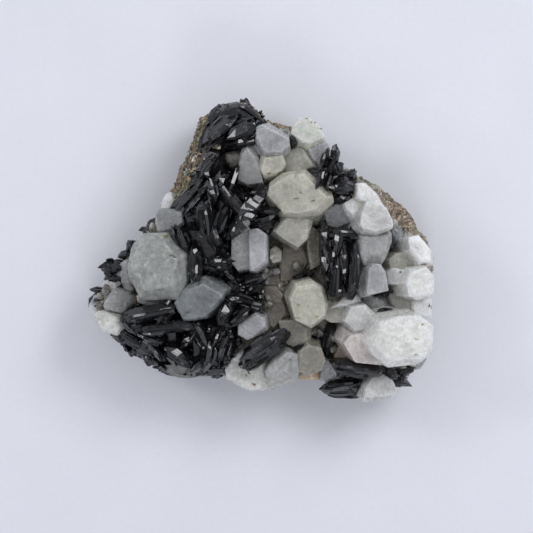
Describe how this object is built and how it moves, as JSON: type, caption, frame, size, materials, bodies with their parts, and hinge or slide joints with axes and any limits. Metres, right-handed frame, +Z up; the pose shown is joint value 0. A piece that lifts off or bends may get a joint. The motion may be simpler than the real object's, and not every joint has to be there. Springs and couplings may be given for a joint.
{
  "type": "epidote crystal cluster",
  "caption": "Loose mineral specimen: black bladed epidote crystals grown together with blocky white to grey quartz crystals on a broken piece of host rock.",
  "frame": {"origin": "centre of the bounding box, on the plane that the specimen rests on", "axes": "+Z up, away from the surface it rests on; +X along the specimen's length, to the right as it is seen from above; +Y to the far side, where the epidote's top end is"},
  "size_m": [0.0877, 0.0751, 0.0348],
  "materials": {
    "host_rock": "rough broken granular rock, grey green with olive and pinkish grains",
    "quartz": "cloudy translucent crystal faces, satin to glossy",
    "epidote": "glossy black striated crystal faces",
    "grey_crystal": "rough grey crystal faces"
  },
  "bodies": {
    "root": {"host_rock": "host_rock", "quartz_main_group": "quartz", "quartz_left_group": "quartz", "epidote_main_mass": "epidote", "epidote_grey_block": "grey_crystal", "epidote_right_spray": "epidote", "epidote_spike": "epidote", "epidote_upper_right_cluster": "epidote", "epidote_lens": "epidote", "epidote_lower_right_blade": "epidote", "epidote_lower_edge_cluster": "epidote", "epidote_left_edge_block": "epidote", "epidote_left_tip_lumps": "epidote", "epidote_upper_left_pair": "epidote", "epidote_upper_left_wedge": "epidote", "epidote_pocket_prisms": "epidote", "epidote_valley_chip": "epidote", "epidote_top_chip": "epidote", "epidote_right_pair": "epidote", "epidote_right_chip": "epidote", "epidote_lower_chip": "epidote", "epidote_right_rim_crystals": "epidote"}
  },
  "joints": []
}
